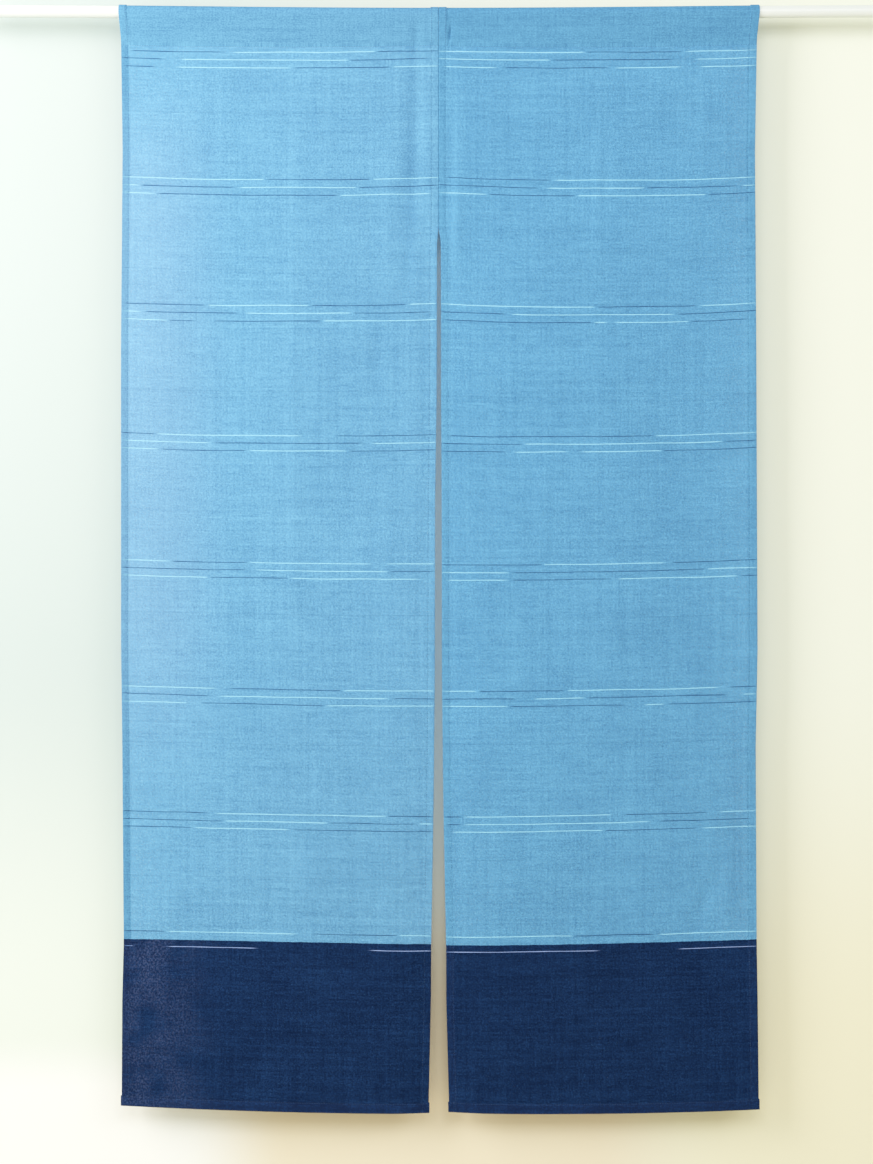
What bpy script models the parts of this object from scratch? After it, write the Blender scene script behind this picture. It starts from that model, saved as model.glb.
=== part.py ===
"""Noren curtain: two lengths of cloth joined above a slit and hung by a pocket on a rod.

Metres, +Z up. +X runs along the rod and the front of the cloth faces -Y. The origin
is the centre of the rod's left end face.
"""

import math

import bmesh
import bpy

# The rod is round and plain. It is held level at both ends and bows a little between them.
ROD_LENGTH = 1.250
ROD_DIAMETER = 0.0165
ROD_HELD_END = 0.030
ROD_SAG = 0.0042
ROD_SIDES = 20
ROD_POINTS = 33

# A round bevel has four sides, and two more for each step of its resolution.
BEVEL_LEAST_SIDES = 4
BEVEL_SIDES_PER_STEP = 2

# One layer of cloth, the layers of a turned hem, and the gap between pieces or layers.
LAYER = 0.0010
HEM_LAYERS = 0.0018
GAP = 0.0003

# Turned hems. The foot hem is folded last and stands a little past the side edges.
SIDE_HEM = 0.0100
FOOT_HEM = 0.0140
HEM_STEP = 0.0020
HEM_CORNER = 0.0012

# Levels on the cloth, measured down from the fold over the rod.
FOLD_HEIGHT = 0.0065
POCKET_DROP = 0.0555
SLIT_DROP = 0.299
COLOUR_DROP = 1.258
PANEL_DROP = 1.487
FOOT_HEM_DROP = PANEL_DROP - FOOT_HEM - HEM_STEP / 2.0

# The strip at the pocket's foot where its two layers lie flat, and the slit's pointed top.
POCKET_STRIP = 0.0070
SLIT_POINT = 0.026

# Mesh lines. The columns crowd towards the seam and the slit, where the folds are narrow.
COLUMN_COUNT = 21
COLUMN_CROWDING = 1.35
WRAP_STEPS = 12
POCKET_STEPS = 3
ROW_STEP = 0.052

# Distance of each outer side edge from the seam, down the cloth.
# (drop, left edge, right edge)
OUTER_EDGES = (
    (0.000, 0.4295, 0.4311),
    (0.045, 0.4270, 0.4283),
    (0.200, 0.4250, 0.4257),
    (0.460, 0.4270, 0.4274),
    (0.870, 0.4270, 0.4291),
    (1.000, 0.4254, 0.4266),
    (1.262, 0.4233, 0.4279),
    (1.340, 0.4253, 0.4292),
    (1.487, 0.4262, 0.4308),
)

# Distance of each slit edge from the seam's line, below the slit's point.
# (drop, left edge, right edge)
SLIT_EDGES = (
    (0.325, 0.0020, 0.0033),
    (0.530, 0.0025, 0.0036),
    (0.664, 0.0045, 0.0043),
    (0.906, 0.0050, 0.0047),
    (1.070, 0.0066, 0.0066),
    (1.262, 0.0098, 0.0103),
    (1.335, 0.0102, 0.0105),
    (1.487, 0.0135, 0.0144),
)

# How far the weave hangs below its level at the outer edge, the middle and the slit.
# (drop, outer edge, middle, slit edge)
LEFT_DROOP = (
    (0.060, -0.0028, 0.0000, -0.0024),
    (0.233, -0.0056, -0.0003, -0.0042),
    (0.403, -0.0054, -0.0006, -0.0044),
    (0.577, -0.0055, -0.0004, -0.0027),
    (0.750, -0.0052, -0.0006, 0.0005),
    (0.919, -0.0054, -0.0004, 0.0021),
    (1.088, -0.0050, -0.0006, 0.0033),
    (1.258, -0.0042, -0.0010, 0.0042),
    (1.487, -0.0086, -0.0010, 0.0028),
)
RIGHT_DROOP = (
    (0.060, -0.0036, 0.0000, -0.0018),
    (0.233, -0.0048, 0.0002, -0.0048),
    (0.403, -0.0050, 0.0010, -0.0042),
    (0.577, -0.0052, 0.0005, -0.0009),
    (0.750, -0.0050, 0.0009, 0.0019),
    (0.919, -0.0046, 0.0007, 0.0027),
    (1.088, -0.0049, 0.0008, 0.0040),
    (1.258, -0.0036, 0.0020, 0.0055),
    (1.487, -0.0036, 0.0020, 0.0010),
)
DROOP_FLATNESS = 2.4

# The long crease that halves each panel stands forward as a low ridge.
# (from the seam, height, drop where it starts, drop where it is full, share lost at the foot)
LEFT_CREASE = (0.2025, 0.0085, 0.060, 0.330, 0.55)
RIGHT_CREASE = (0.2130, 0.0060, 0.060, 0.380, 0.70)
CREASE_ROUNDING = 0.012
CREASE_FADE_DROP = 0.630

# Soft folds: forward is above zero for a ridge and below zero for a trough.
# (top from seam, top drop, foot from seam, foot drop, half width, forward)
LEFT_FOLDS = (
    (0.0400, 0.060, 0.0400, 0.420, 0.0100, -0.0028),
    (0.0640, 0.100, 0.0660, 0.440, 0.0110, 0.0014),
    (0.0830, 0.400, 0.0830, 0.550, 0.0100, -0.0014),
    (0.3300, 0.300, 0.3400, 1.050, 0.0450, -0.0020),
    (0.0890, 1.110, 0.1970, 1.250, 0.0140, -0.0014),
    (0.0300, 1.140, 0.0290, 1.260, 0.0090, -0.0014),
    (0.3700, 1.150, 0.3700, 1.300, 0.0300, 0.0020),
)
RIGHT_FOLDS = (
    (0.0240, 0.060, 0.0230, 0.420, 0.0090, 0.0028),
    (0.0500, 0.240, 0.0540, 0.430, 0.0110, -0.0022),
    (0.3250, 0.250, 0.3200, 0.950, 0.0500, -0.0018),
    (0.1405, 0.540, 0.1405, 0.790, 0.0110, 0.0012),
    (0.3900, 1.120, 0.3880, 1.280, 0.0090, 0.0016),
    (0.3800, 1.150, 0.3380, 1.260, 0.0100, -0.0018),
)

# The folds die out towards the stiff seam and the slit's hems.
FLAT_BY_SEAM = 0.012
FULL_FROM_SEAM = 0.032

# Each slit edge leans back a little below the seam, most at the foot.
SLIT_LEAN = 0.0070
SLIT_LEAN_WIDTH = 0.070

# (colour as red, green and blue, roughness, metallic)
LIGHT_CLOTH = ((0.210, 0.500, 0.720), 0.85, 0.0)
DARK_CLOTH = ((0.011, 0.036, 0.105), 0.88, 0.0)
ROD_PAINT = ((0.840, 0.850, 0.830), 0.35, 0.0)

COLLECTION_NAME = "noren_curtain"


def clear_scene():
    """Remove the objects of the scene that is open."""
    for item in list(bpy.data.objects):
        bpy.data.objects.remove(item, do_unlink=True)


def named_collection(name):
    """A new collection, linked to the scene."""
    group = bpy.data.collections.new(name)
    bpy.context.scene.collection.children.link(group)
    return group


def make_material(name, finish):
    """A Principled material with a colour, a roughness and a metallic value."""
    colour, roughness, metallic = finish
    made = bpy.data.materials.new(name)
    made.use_nodes = True
    made.diffuse_color = (*colour, 1.0)
    shader = made.node_tree.nodes["Principled BSDF"]
    shader.inputs["Base Color"].default_value = (*colour, 1.0)
    shader.inputs["Roughness"].default_value = roughness
    shader.inputs["Metallic"].default_value = metallic
    return made


def ease(value, start, end):
    """0 up to start, 1 from end on, and a smooth rise between them."""
    share = min(max((value - start) / (end - start), 0.0), 1.0)
    return share * share * (3.0 - 2.0 * share)


def read_table(table, column, value):
    """A table's column at a value of its first column, straight between two rows."""
    if value <= table[0][0]:
        return table[0][column]
    for low, high in zip(table, table[1:]):
        if value <= high[0]:
            share = (value - low[0]) / (high[0] - low[0])
            return low[column] + share * (high[column] - low[column])
    return table[-1][column]


def hem_corner(drop):
    """How far the cloth's edge at a drop stands past its side edge: only the foot hem does."""
    return HEM_CORNER if drop > FOOT_HEM_DROP else 0.0


def tangent_angle(reach, height, radius):
    """Angle from straight up at which a line to a point touches a circle about the origin."""
    return math.atan2(reach, height) - math.acos(radius / math.hypot(reach, height))


def rod_height(x):
    """Height of the rod's axis: level in its held ends and lowest in the middle."""
    share = (x - ROD_HELD_END) / (ROD_LENGTH - 2.0 * ROD_HELD_END)
    share = min(max(share, 0.0), 1.0)
    return -ROD_SAG * (4.0 * share * (1.0 - share)) ** 2


def make_rod():
    """The rod, a tube along its bowed axis with closed flat ends."""
    path = bpy.data.curves.new("rod", "CURVE")
    path.dimensions = "3D"
    path.bevel_depth = ROD_DIAMETER / 2.0
    path.bevel_resolution = (ROD_SIDES - BEVEL_LEAST_SIDES) // BEVEL_SIDES_PER_STEP
    path.use_fill_caps = True
    spline = path.splines.new("POLY")
    spline.points.add(ROD_POINTS - 1)
    free_length = ROD_LENGTH - 2.0 * ROD_HELD_END
    free_steps = ROD_POINTS - 3
    free = [ROD_HELD_END + free_length * number / free_steps for number in range(free_steps + 1)]
    for point, x in zip(spline.points, (0.0, *free, ROD_LENGTH)):
        point.co = (x, 0.0, rod_height(x), 1.0)
    spline.use_smooth = True
    return bpy.data.objects.new("rod", path)


class Panel:
    """One length of cloth. side is -1 on the left of the seam and 1 on its right.

    A column is an edge and a distance in from it, or a share of the width between the
    side hems. A row is a drop on the hanging cloth, or a share of one run of the pocket.
    """

    def __init__(self, name, side, droop, crease, folds):
        self.name = name
        self.side = side
        self.droop = droop
        self.crease = crease
        self.folds = folds
        self.edge_column = 1 if side < 0 else 2

    def columns(self):
        """The columns from left to right."""
        hem_lines = (0.0, SIDE_HEM - HEM_STEP / 2.0, SIDE_HEM + HEM_STEP / 2.0)
        from_seam = [("inner", line) for line in hem_lines]
        for number in range(1, COLUMN_COUNT):
            from_seam.append(("share", (number / COLUMN_COUNT) ** COLUMN_CROWDING))
        from_seam += [("outer", line) for line in reversed(hem_lines)]
        return from_seam if self.side > 0 else from_seam[::-1]

    def rows(self):
        """The rows from the foot up the front, over the rod and down to the pocket's foot."""
        hem_line = PANEL_DROP - FOOT_HEM
        point_drops = (SLIT_DROP + SLIT_POINT, SLIT_DROP + SLIT_POINT / 2.0, SLIT_DROP)
        levels = (hem_line - HEM_STEP, COLOUR_DROP, *point_drops, POCKET_DROP)
        drops = [PANEL_DROP, hem_line, levels[0]]
        for foot, top in zip(levels, levels[1:]):
            steps = math.ceil((foot - top) / ROW_STEP)
            drops += [foot - (foot - top) * number / steps for number in range(1, steps + 1)]
        rows = [("hanging", drop) for drop in drops]
        rows += [("front", number / POCKET_STEPS) for number in range(POCKET_STEPS)]
        rows += [("wrap", number / WRAP_STEPS) for number in range(WRAP_STEPS + 1)]
        rows += [("back", number / POCKET_STEPS) for number in range(1, POCKET_STEPS + 1)]
        return rows + [("strip", 1.0)]

    def outer_edge(self, drop):
        """Distance of the outer side edge from the seam."""
        return read_table(OUTER_EDGES, self.edge_column, drop) + hem_corner(drop)

    def inner_edge(self, drop):
        """Distance of the panel's other edge from the seam: half a gap, or its side of the slit."""
        opened = read_table(SLIT_EDGES, self.edge_column, drop) - hem_corner(drop)
        share = ease(drop, SLIT_DROP, SLIT_DROP + SLIT_POINT)
        return GAP / 2.0 + share * (opened - GAP / 2.0)

    def distance(self, column, drop):
        """Distance of a column from the seam at a drop."""
        kind, amount = column
        inner, outer = self.inner_edge(drop), self.outer_edge(drop)
        if kind == "inner":
            return inner + amount
        if kind == "outer":
            return outer - amount
        margin = SIDE_HEM + HEM_STEP / 2.0
        return inner + margin + amount * (outer - inner - 2.0 * margin)

    def hang(self, distance, drop):
        """How far the weave hangs below its level at a distance from the seam."""
        across = 1.0 - distance / self.outer_edge(drop)
        outer, middle, inner = (read_table(self.droop, column, drop) for column in (1, 2, 3))
        straight = outer + across * (inner - outer)
        belly = 1.0 - abs(2.0 * across - 1.0) ** DROOP_FLATNESS
        return straight + (middle - (outer + inner) / 2.0) * belly

    def forward(self, distance, drop):
        """How far the cloth stands forward of its plane, from its crease, folds and lean."""
        at, height, start, full, lost = self.crease
        slope = math.hypot(distance - at, CREASE_ROUNDING) - CREASE_ROUNDING
        relief = height * (1.0 - slope / at) * ease(drop, start, full)
        relief *= 1.0 - lost * ease(drop, CREASE_FADE_DROP, PANEL_DROP)
        for top, top_drop, foot, foot_drop, half_width, amount in self.folds:
            along = (drop - top_drop) / (foot_drop - top_drop)
            if 0.0 < along < 1.0:
                offset = distance - top - along * (foot - top)
                bell = math.exp(-((offset / half_width) ** 2))
                relief += amount * bell * math.sin(math.pi * along) ** 2
        relief *= ease(distance, FLAT_BY_SEAM, FULL_FROM_SEAM)
        near_slit = 1.0 - ease(distance, 0.0, SLIT_LEAN_WIDTH)
        return relief - SLIT_LEAN * near_slit * ease(drop, SLIT_DROP, PANEL_DROP)

    def is_hem(self, column, row):
        """Whether a vertex lies in the layers of a turned hem."""
        in_side = column[0] != "share" and column[1] < SIDE_HEM
        in_foot = row[0] == "hanging" and row[1] > FOOT_HEM_DROP
        return in_side or in_foot

    def place(self, column, row):
        """Where a vertex of the cloth's outer face stands."""
        kind, amount = row
        drop = amount if kind == "hanging" else POCKET_DROP
        distance = self.distance(column, drop)
        height = FOLD_HEIGHT - drop - self.hang(distance, drop)
        if kind == "hanging":
            x = ROD_LENGTH / 2.0 + self.side * distance
            return (x, -LAYER - self.forward(distance, drop), height)
        return self.pocket_place(column, row, height)

    def pocket_place(self, column, row, foot_height):
        """Where a vertex of the pocket stands: its straight front and back, its turn over the
        rod, or the strip at its foot that lies flat against the front layer."""
        kind, amount = row
        thickness = HEM_LAYERS if self.is_hem(column, row) else LAYER
        shares_down = {"front": 1.0 - amount, "wrap": 0.0, "back": amount, "strip": 1.0}
        drop = POCKET_DROP * shares_down[kind]
        x = ROD_LENGTH / 2.0 + self.side * self.distance(column, drop)
        back_depth = 2.0 * thickness - LAYER + GAP
        if kind == "strip":
            return (x, back_depth, foot_height)
        axis_height = rod_height(x)
        seam_height = foot_height + POCKET_STRIP - axis_height
        facet = math.cos(math.pi / ROD_SIDES)
        radius = (ROD_DIAMETER / 2.0 + GAP + thickness) / facet
        front_turn = tangent_angle(LAYER, seam_height, radius)
        back_turn = tangent_angle(back_depth, seam_height, radius)
        if kind == "wrap":
            angle = front_turn - amount * (front_turn + back_turn)
            return (x, -radius * math.sin(angle), axis_height + radius * math.cos(angle))
        if kind == "front":
            start = (-LAYER, seam_height)
            end = (-radius * math.sin(front_turn), radius * math.cos(front_turn))
        else:
            start = (radius * math.sin(back_turn), radius * math.cos(back_turn))
            end = (back_depth, seam_height)
        depth, height = (low + amount * (high - low) for low, high in zip(start, end))
        return (x, depth, axis_height + height)


def make_panel(panel, light, dark):
    """One length of cloth as an open grid, thickened inwards and thicker at its hems."""
    columns, rows = panel.columns(), panel.rows()
    grid = bmesh.new()
    bmesh.ops.create_grid(grid, x_segments=len(columns) - 1, y_segments=len(rows) - 1, size=1.0)
    hem_vertices = []
    for number, vertex in enumerate(grid.verts):
        row, column = divmod(number, len(columns))
        vertex.co = panel.place(columns[column], rows[row])
        if panel.is_hem(columns[column], rows[row]):
            hem_vertices.append(number)
    for face in grid.faces:
        face.smooth = True
        is_dark = face.calc_center_median().z < FOLD_HEIGHT - COLOUR_DROP
        face.material_index = 1 if is_dark else 0
    mesh = bpy.data.meshes.new(panel.name)
    grid.to_mesh(mesh)
    grid.free()
    mesh.materials.append(light)
    mesh.materials.append(dark)
    cloth = bpy.data.objects.new(panel.name, mesh)
    hems = cloth.vertex_groups.new(name="hems")
    hems.add(hem_vertices, 1.0, "REPLACE")
    layers = cloth.modifiers.new("layers", "SOLIDIFY")
    layers.thickness = HEM_LAYERS
    layers.offset = -1.0
    layers.use_even_offset = True
    layers.vertex_group = hems.name
    layers.thickness_vertex_group = LAYER / HEM_LAYERS
    return cloth


def main():
    clear_scene()
    group = named_collection(COLLECTION_NAME)
    rod = make_rod()
    rod.data.materials.append(make_material("rod_paint", ROD_PAINT))
    group.objects.link(rod)
    panels = (
        Panel("left_panel", -1, LEFT_DROOP, LEFT_CREASE, LEFT_FOLDS),
        Panel("right_panel", 1, RIGHT_DROOP, RIGHT_CREASE, RIGHT_FOLDS),
    )
    for panel in panels:
        light = make_material(panel.name + "_light_cloth", LIGHT_CLOTH)
        dark = make_material(panel.name + "_dark_cloth", DARK_CLOTH)
        cloth = make_panel(panel, light, dark)
        cloth.parent = rod
        group.objects.link(cloth)


main()
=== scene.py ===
import math

import bpy
from mathutils import Matrix, Vector, noise


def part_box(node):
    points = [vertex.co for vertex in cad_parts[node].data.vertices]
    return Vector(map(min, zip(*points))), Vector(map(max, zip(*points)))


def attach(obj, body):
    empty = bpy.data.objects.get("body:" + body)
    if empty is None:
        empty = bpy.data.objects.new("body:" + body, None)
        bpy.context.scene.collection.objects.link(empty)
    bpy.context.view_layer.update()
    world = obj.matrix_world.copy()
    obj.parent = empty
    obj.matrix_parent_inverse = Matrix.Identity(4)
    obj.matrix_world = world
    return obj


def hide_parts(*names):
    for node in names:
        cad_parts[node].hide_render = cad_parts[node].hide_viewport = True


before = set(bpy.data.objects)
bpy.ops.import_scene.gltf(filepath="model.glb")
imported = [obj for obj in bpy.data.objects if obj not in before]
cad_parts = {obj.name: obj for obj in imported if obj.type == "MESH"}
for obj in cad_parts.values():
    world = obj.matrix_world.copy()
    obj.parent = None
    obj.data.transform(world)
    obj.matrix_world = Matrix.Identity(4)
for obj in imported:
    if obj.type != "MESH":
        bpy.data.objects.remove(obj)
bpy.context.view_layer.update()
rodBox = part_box("rod")

# Metres, +Z up, +X along the rod, and the cloth's front faces -Y. The seam stands over the middle of the rod.
seamX = (rodBox[0].x + rodBox[1].x) / 2

rod = {
    "name": "hanging_rod",
    "radius": (rodBox[1].y - rodBox[0].y) / 2,
    "length": rodBox[1].x - rodBox[0].x,
    "heldEnd": 0.030,       # level at each end
    "sag": 0.0042,
    "sides": 64,
    "cuts": 60,             # along the length, so that it can bow
    "easedEnd": 0.0009,
    "easedSteps": 3,
    "sharpAngle": 60,       # degrees; edges sharper than this are eased
    "smoothAngle": 30,
    "paint": (0.74, 0.80, 0.76),
    "streaks": (3.0, 160.0, 160.0),     # to the metre, along and across
    "streakShade": 0.97,
    "peel": (700.0, 700.0, 700.0),      # fine unevenness of the paint
    "roughness": (0.30, 0.08),          # the least, and how much the streaks add
    "heights": (0.02, 0.01),            # millimetres, of streaks and peel
    "coat": 0.2,
}

weave = {
    "layer": 0.00055,           # one layer of cloth
    "hemLayers": 0.00150,       # the three layers of a turned hem
    "pocketHemLayers": 0.00105,
    "contact": 0.00005,         # between layers that touch
    "planeDepth": 0.0010,       # the front of the flat cloth stands this far before the rod's axis
    "edgeRoll": 0.0009,         # how far in from a folded edge the front is round
    "rollDepth": 0.7,           # of that, how far it turns back
    "foldHeight": 0.0065,       # of the fold over the rod, above the rod's axis at its ends
    "pocketStitch": 0.0545,     # drops, measured down the cloth from the fold over the rod
    "pocketFoot": 0.0580,
    "roundRod": 0.0309,         # length of the cloth that wraps the rod
    "pocketStrip": 0.0035,      # above the stitch line, where the two layers still lie flat
    "slitTop": 0.299,
    "slitPoint": 0.026,
    "darkFoot": 1.258,
    "foot": 1.487,
    "footHem": 0.0140,
    "footStitch": 0.0126,
    "sideHem": 0.0100,
    "sideStitch": 0.0088,       # from a folded edge; a hem stitched farther in is that much wider
    "paintedSeamShadow": 1.75,           # painted shadow along the folded edges where they are sewn together, as layers
    "paintedSeamShadowWidth": 0.0004,
    "hemCorner": 0.0012,        # the foot hem is folded last and stands this far past the sides
    "droopFlatness": 2.4,
    "creaseRounding": 0.012,
    "creaseFadeDrop": 0.630,
    "flatBySeam": 0.012,
    "fullFromSeam": 0.032,
    "slitLean": 0.0070,
    "slitLeanWidth": 0.070,
    "columnStep": 0.0036,
    "countAt": 0.8,             # drop at which the columns are counted
    "rowStep": 0.0066,
    "wrapSteps": 24,
    "straightSteps": 9,         # each straight run of the pocket
    # extra lines of the mesh: in from a side edge, up from the foot, by a row of stitches and by a hem's end,
    # from a side hem to the even columns, above the foot hem, and by the pocket's stitches
    "byEdge": (0.0, 0.0003, 0.0009, 0.0030, 0.0060),
    "byFoot": (0.0, 0.0003, 0.0009, 0.0040, 0.0085),
    "byStitches": (-0.0010, -0.0003, 0.0003),
    "byHemEnd": (-0.0001, 0.0006),
    "besideHem": (0.0124, 0.0140, 0.0156, 0.0172, 0.0190),
    "aboveHem": (0.0175,),
    "byPocket": (0.0016, 0.0006, 0.0, -0.0006),
    "smoothAngle": 42,
}

# Outlines, droop, crease and folds are the cloth solids' own, and the fine folds are added to them here.
# Distances run from the seam, drops from the top fold.
leftPanel = {
    "name": "left_cloth",
    "node": "left_panel",
    "side": -1,
    "outerStitch": 0.0088,
    "innerStitch": 0.0092,
    # how doubled each part is taken to be: it sets how much light comes through and how much painted shade
    # darkens the colour, with values set for each length by how the light falls on it
    "layers": {"pocket": 1.42, "outer": 1.66, "seam": 0.50, "slit": 0.0, "foot": 1.2},
    "dye": (1.09, 1.02, 0.885),     # painted light: the left length is painted lighter and the right one darker, for light that falls from the left
    "outerEdge": (
        (0.000, 0.4295), (0.045, 0.4270), (0.200, 0.4250), (0.460, 0.4270), (0.870, 0.4270),
        (1.000, 0.4254), (1.262, 0.4233), (1.340, 0.4253), (1.487, 0.4262),
    ),
    "slitEdge": (
        (0.325, 0.0020), (0.530, 0.0025), (0.664, 0.0045), (0.906, 0.0050),
        (1.070, 0.0066), (1.262, 0.0098), (1.335, 0.0102), (1.487, 0.0135),
    ),
    # drop, then how far the weave hangs low at the outer edge, the middle and the slit
    "droop": (
        (0.060, -0.0028, 0.0000, -0.0024),
        (0.233, -0.0056, -0.0003, -0.0042),
        (0.403, -0.0054, -0.0006, -0.0044),
        (0.577, -0.0055, -0.0004, -0.0027),
        (0.750, -0.0052, -0.0006, 0.0005),
        (0.919, -0.0054, -0.0004, 0.0021),
        (1.088, -0.0050, -0.0006, 0.0033),
        (1.258, -0.0042, -0.0010, 0.0042),
        (1.487, -0.0086, -0.0010, 0.0028),
    ),
    "crease": {"at": 0.2025, "height": 0.0085, "starts": 0.060, "full": 0.330, "lost": 0.55},
    # top from seam, top drop, foot from seam, foot drop, half width, forward
    "folds": (
        (0.0400, 0.060, 0.0400, 0.420, 0.0100, -0.0028),
        (0.0640, 0.100, 0.0660, 0.440, 0.0110, 0.0014),
        (0.0830, 0.400, 0.0830, 0.550, 0.0100, -0.0014),
        (0.3300, 0.300, 0.3400, 1.050, 0.0450, -0.0020),
        (0.0890, 1.110, 0.1970, 1.250, 0.0140, -0.0014),
        (0.0300, 1.140, 0.0290, 1.260, 0.0090, -0.0014),
        (0.3700, 1.150, 0.3700, 1.300, 0.0300, 0.0020),
    ),
    "fineFolds": (
        (0.4090, 0.026, 0.4070, 0.062, 0.0022, -0.0005),
        (0.3880, 0.026, 0.3860, 0.062, 0.0022, -0.0005),
        (0.0290, 0.022, 0.0285, 0.060, 0.0030, -0.0006),
        (0.0400, 0.060, 0.0400, 0.420, 0.0100, 0.0014),
        (0.0300, 0.000, 0.0300, 0.075, 0.0034, -0.0014),
        (0.0270, 0.045, 0.0330, 0.340, 0.0100, -0.0026),
        (0.0400, 0.280, 0.0420, 0.420, 0.0060, -0.0010),
        (0.1960, 0.120, 0.1930, 0.960, 0.0060, 0.0007),
        (0.1740, 0.120, 0.1720, 0.235, 0.0035, -0.0006),
        (0.1630, 0.120, 0.1640, 0.215, 0.0035, 0.0005),
        (0.0200, 0.760, 0.0180, 0.940, 0.0060, 0.0008),
        (0.0300, 1.330, 0.0100, 1.340, 0.0040, -0.0005),
        (0.1500, 0.900, 0.1430, 1.060, 0.0100, 0.0006),
        (0.0890, 1.110, 0.1970, 1.250, 0.0140, 0.0009),
        (0.0730, 1.160, 0.0860, 1.235, 0.0045, -0.0007),
        (0.0450, 1.150, 0.0560, 1.245, 0.0045, -0.0006),
        (0.0180, 1.150, 0.0230, 1.240, 0.0040, -0.0007),
    ),
    # groups of woven lines: the first one's drop, then each line's pale or dark stretches, mm from the seam
    "stripes": (
        (0.0618, "d413-290 p275-84 d84-0", "d425-372 p345-120 d120-14", "d420-382 p350-200 d194-63 p62-0"),
        (0.2342, "p425-234 d232-90 p88-0", "p425-404 d400-275 p266-110 d108-0", "p425-382 d378-134 p132-12"),
        (0.4038, "d420-312 p310-174 d172-42 p40-4", "p425-402 d394-270 p257-118 d114-10",
         "p425-365 d362-328 d300-156 p155-2"),
        (0.5782, "d425-380 p378-186 d136-3", "p425-310 d300-104 p88-3", "p425-376 d373-258 p253-124 d120-3"),
        (0.7492, "p425-361 d360-256 p253-92 p68-6", "d425-260 p243-68 d66-7", "p425-310 d308-202 p198-28"),
        (0.9187, "p425-300 d280-130 p128-6", "d425-308 p292-70 d60-6", "p425-340 d318-154 p150-6"),
        (1.0867, "d424-310 p296-70 d69-7", "d424-289 p287-150 d146-30 p26-8", "d424-330 p328-202 d192-8"),
        (1.2470, "d422-366 p365-193 d168-56 p53-10", "", "p421-412 p362-247 p90-10"),
    ),
    # thick yarns that run right across show a little darker
    "slubs": (0.1440, 0.3560, 0.5190, 0.8180, 0.9930, 1.1720),
    # painted light and shade along creases and folds, for how the light falls on them: distance from the
    # seam, first and last drop, half width, how much paler or darker
    "paintedFoldLight": (
        (0.1975, 0.100, 1.000, 0.0085, 0.48),
        (0.1770, 0.200, 0.320, 0.0035, -0.60),
        (0.0830, 0.400, 0.550, 0.0060, -0.50),
        (0.0385, 0.020, 0.340, 0.0080, -1.30),
        (0.0385, 0.280, 0.430, 0.0080, -0.80),
        (0.0180, 0.030, 0.330, 0.0060, 0.20),
        (0.0060, 0.060, 0.300, 0.0060, -0.60),
        (0.0200, 0.740, 1.000, 0.0070, 0.50),
    ),
}
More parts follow.
